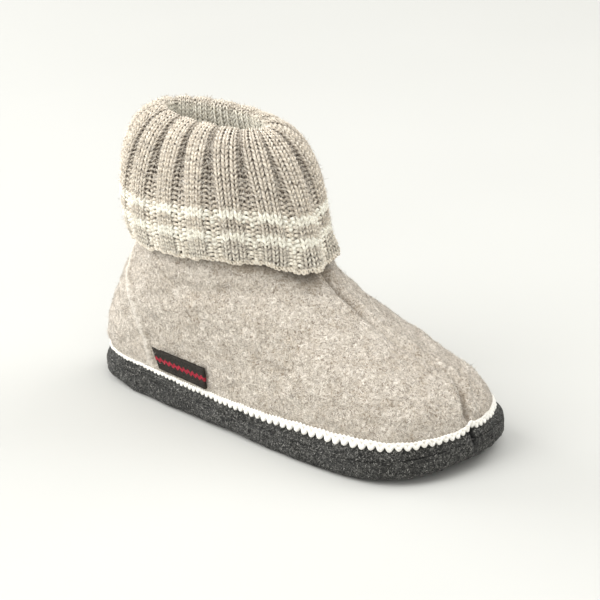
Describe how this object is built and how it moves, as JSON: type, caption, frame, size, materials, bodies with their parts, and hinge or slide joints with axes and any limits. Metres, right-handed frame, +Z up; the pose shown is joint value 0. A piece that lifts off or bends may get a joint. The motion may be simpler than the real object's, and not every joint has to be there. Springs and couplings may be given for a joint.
{
  "type": "boiled wool slipper",
  "caption": "Ankle-high boiled wool slipper, right foot: hollow felted upper with a centre-front seam, turned-down rib-knit cuff, felt rand and sole, pale yarn edging.",
  "frame": {"origin": "on the floor under the middle of the sole's bounding box", "axes": "+X to the toe, +Y to the inner side of the right foot, +Z up"},
  "size_m": [0.2461, 0.1027, 0.1688],
  "materials": {
    "boiled_wool": "felted, fuzzy, greige heather",
    "rib_knit": "ribbed wool knit, greige with two cream stripes",
    "charcoal_felt": "dense charcoal felt with pale flecks",
    "footbed_felt": "soft pale felt",
    "edging_yarn": "off-white overlock yarn",
    "label_weave": "dark woven tape, blank"
  },
  "bodies": {
    "root": {"outsole": "charcoal_felt", "rand": "charcoal_felt", "insole": "footbed_felt", "upper": "boiled_wool", "cuff": "rib_knit", "edging": "edging_yarn", "label_tab": "label_weave"}
  },
  "joints": []
}
